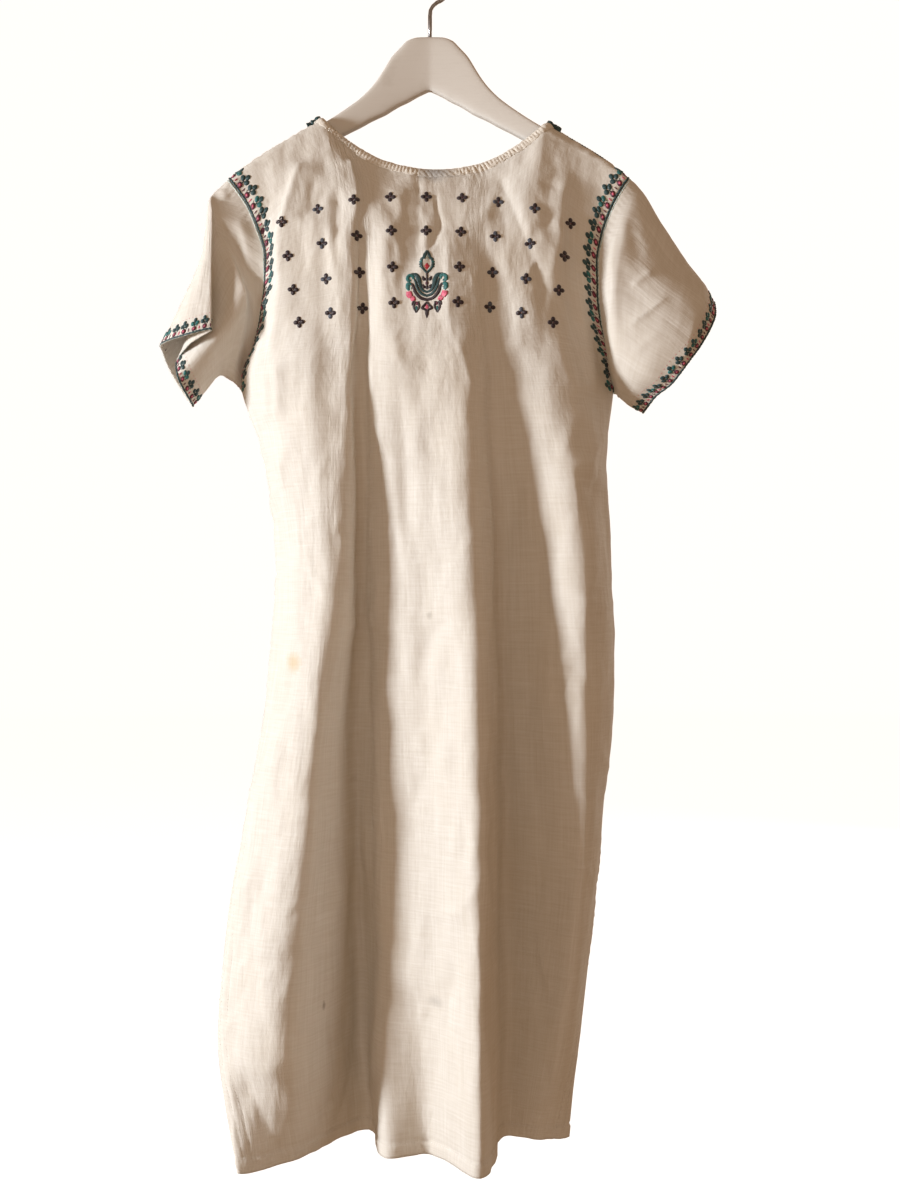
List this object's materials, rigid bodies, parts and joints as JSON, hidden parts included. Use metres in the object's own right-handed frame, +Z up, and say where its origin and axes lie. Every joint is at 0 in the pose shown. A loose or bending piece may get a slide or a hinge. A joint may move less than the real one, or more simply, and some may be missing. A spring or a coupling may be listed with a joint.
{
  "type": "tunic on hanger",
  "caption": "calf-length short-sleeved cotton tunic with side slits, hanging in soft folds from a curved wooden hanger with a wire hook",
  "frame": {"origin": "inside top of the hanger's hook, where it rests on a rail", "axes": "+Z up, -Y towards someone who looks at the tunic's back, +X to their right"},
  "size_m": [0.5503, 0.2042, 1.1901],
  "materials": {
    "cotton": "plain handwoven cotton, matte",
    "bias_strip": "the same cotton cut on the bias, matte",
    "painted_wood": "white paint, satin",
    "wire": "polished wire"
  },
  "bodies": {
    "root": {"back_panel": "cotton", "front_panel": "cotton", "left_sleeve": "cotton", "right_sleeve": "cotton", "neck_strip_back": "bias_strip", "neck_strip_front": "bias_strip", "hanger_wood": "painted_wood", "hanger_hook": "wire"}
  },
  "joints": []
}
